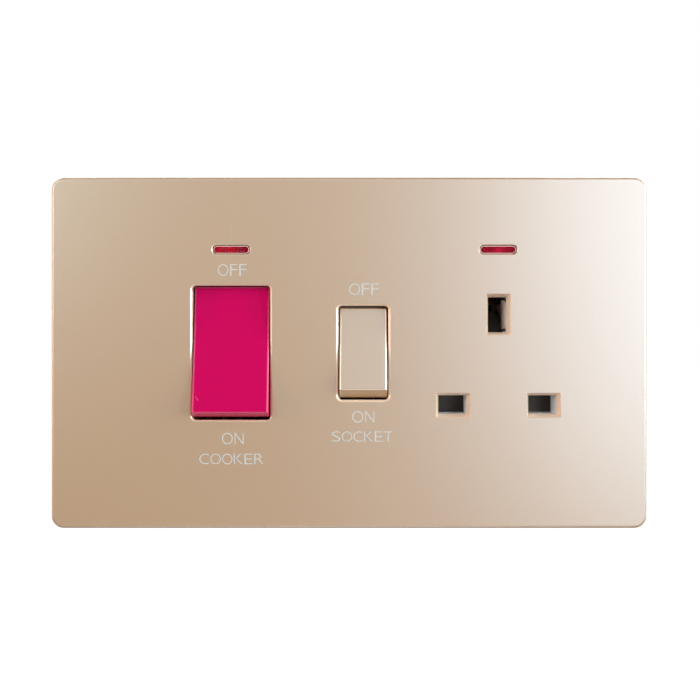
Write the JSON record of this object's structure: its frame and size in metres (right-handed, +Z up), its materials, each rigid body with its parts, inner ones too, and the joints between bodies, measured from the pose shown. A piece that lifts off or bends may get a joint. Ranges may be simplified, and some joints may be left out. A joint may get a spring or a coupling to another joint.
{
  "type": "cooker control unit",
  "caption": "Flush wall unit with a champagne clip-on plate, a large magenta cooker rocker, a small rocker, a shuttered square-pin socket and red neon windows.",
  "frame": {"origin": "centre of the plate on the wall plane, midway between the two box fixings", "axes": "+X to the right as seen from the room, +Y into the wall, +Z up"},
  "size_m": [0.146, 0.0336, 0.086],
  "materials": {
    "plate_champagne": "satin metallic champagne finish, faintly speckled",
    "frame_grey": "plain moulded",
    "body_white": "plain moulded, finely textured outside",
    "rocker_magenta": "smooth satin gloss",
    "rocker_champagne": "smooth satin metallic",
    "plunger_nylon": "plain moulded",
    "spring_steel": "drawn wire",
    "contact_brass": "stamped, dull",
    "terminal_brass": "machined, satin",
    "contact_silver": "dull silver",
    "screw_steel": "zinc plated",
    "shutter_dark": "plain moulded",
    "lens_red": "clear red moulding with fine prisms behind",
    "lamp_glass": "clear tube",
    "resistor_body": "matt lacquer",
    "lead_sleeve": "soft sleeve"
  },
  "bodies": {
    "unit": {"case_screws": "screw_steel", "cooker_lamp": "lamp_glass", "cooker_leads": "lead_sleeve", "cooker_lens": "lens_red", "cooker_resistor": "resistor_body", "earth_bar": "contact_brass", "earth_contact": "contact_brass", "earth_strap": "contact_brass", "earth_terminal_load": "terminal_brass", "earth_terminal_screws": "screw_steel", "earth_terminal_supply": "terminal_brass", "fixed_contacts": "contact_silver", "front_cover": "plate_champagne", "line_link": "contact_brass", "load_link": "contact_brass", "load_terminal_line": "terminal_brass", "load_terminal_neutral": "terminal_brass", "mounting_frame": "frame_grey", "neutral_link": "contact_brass", "rear_body": "body_white", "shutter_retainer": "frame_grey", "shutter_spring": "spring_steel", "socket_lamp": "lamp_glass", "socket_leads": "lead_sleeve", "socket_lens": "lens_red", "socket_line_contact": "contact_brass", "socket_neutral_contact": "contact_brass", "socket_resistor": "resistor_body", "supply_terminal_line": "terminal_brass", "supply_terminal_neutral": "terminal_brass", "terminal_screws": "screw_steel"},
    "cooker_rocker_body": {"cooker_rocker": "rocker_magenta", "cooker_spring_line": "spring_steel", "cooker_spring_neutral": "spring_steel"},
    "socket_rocker_body": {"socket_rocker": "rocker_champagne", "socket_spring": "spring_steel"},
    "cooker_plunger_line_body": {"cooker_plunger_line": "plunger_nylon"},
    "cooker_plunger_neutral_body": {"cooker_plunger_neutral": "plunger_nylon"},
    "socket_plunger_body": {"socket_plunger": "plunger_nylon"},
    "cooker_arm_line_body": {"cooker_arm_line": "contact_brass", "cooker_button_line": "contact_silver"},
    "cooker_arm_neutral_body": {"cooker_arm_neutral": "contact_brass", "cooker_button_neutral": "contact_silver"},
    "socket_arm_body": {"socket_arm": "contact_brass", "socket_button": "contact_silver"},
    "shutter_body": {"shutter": "shutter_dark"}
  },
  "joints": [
    {"name": "cooker_switch", "type": "hinge", "parent": "unit", "child": "cooker_rocker_body", "pos_m": [-0.0289, -0.003, 0], "axis": [1, 0, 0], "range_deg": [0, 18]},
    {"name": "socket_switch", "type": "hinge", "parent": "unit", "child": "socket_rocker_body", "pos_m": [0.0035, -0.003, 0], "axis": [1, 0, 0], "range_deg": [0, 18]},
    {"name": "cooker_plunger_line_slide", "type": "slide", "parent": "cooker_rocker_body", "child": "cooker_plunger_line_body", "axis": [0, -0.9877, 0.1564], "range_m": [0, 0.0006], "stiffness_N_per_m": 900, "springref_m": -0.0015, "deforming": ["cooker_spring_line"]},
    {"name": "cooker_plunger_neutral_slide", "type": "slide", "parent": "cooker_rocker_body", "child": "cooker_plunger_neutral_body", "axis": [0, -0.9877, 0.1564], "range_m": [0, 0.0006], "stiffness_N_per_m": 900, "springref_m": -0.0015, "deforming": ["cooker_spring_neutral"]},
    {"name": "socket_plunger_slide", "type": "slide", "parent": "socket_rocker_body", "child": "socket_plunger_body", "axis": [0, -0.9877, 0.1564], "range_m": [0, 0.0006], "stiffness_N_per_m": 900, "springref_m": -0.0015, "deforming": ["socket_spring"]},
    {"name": "cooker_arm_line_rock", "type": "hinge", "parent": "unit", "child": "cooker_arm_line_body", "pos_m": [-0.0229, 0.0092, 0], "axis": [1, 0, 0], "range_deg": [-15, 0]},
    {"name": "cooker_arm_neutral_rock", "type": "hinge", "parent": "unit", "child": "cooker_arm_neutral_body", "pos_m": [-0.0349, 0.0092, 0], "axis": [1, 0, 0], "range_deg": [-15, 0]},
    {"name": "socket_arm_rock", "type": "hinge", "parent": "unit", "child": "socket_arm_body", "pos_m": [0.0035, 0.0092, 0], "axis": [1, 0, 0], "range_deg": [-20, 0]},
    {"name": "shutter_slide", "type": "slide", "parent": "unit", "child": "shutter_body", "axis": [0, 0, -1], "range_m": [0, 0.0052], "stiffness_N_per_m": 150, "springref_m": -0.003, "deforming": ["shutter_spring"]}
  ],
  "couplings": [
    {"joint": "cooker_arm_line_rock", "follows": "cooker_switch", "ratio": -0.83333},
    {"joint": "cooker_arm_neutral_rock", "follows": "cooker_switch", "ratio": -0.83333},
    {"joint": "socket_arm_rock", "follows": "socket_switch", "ratio": -1.1111}
  ]
}
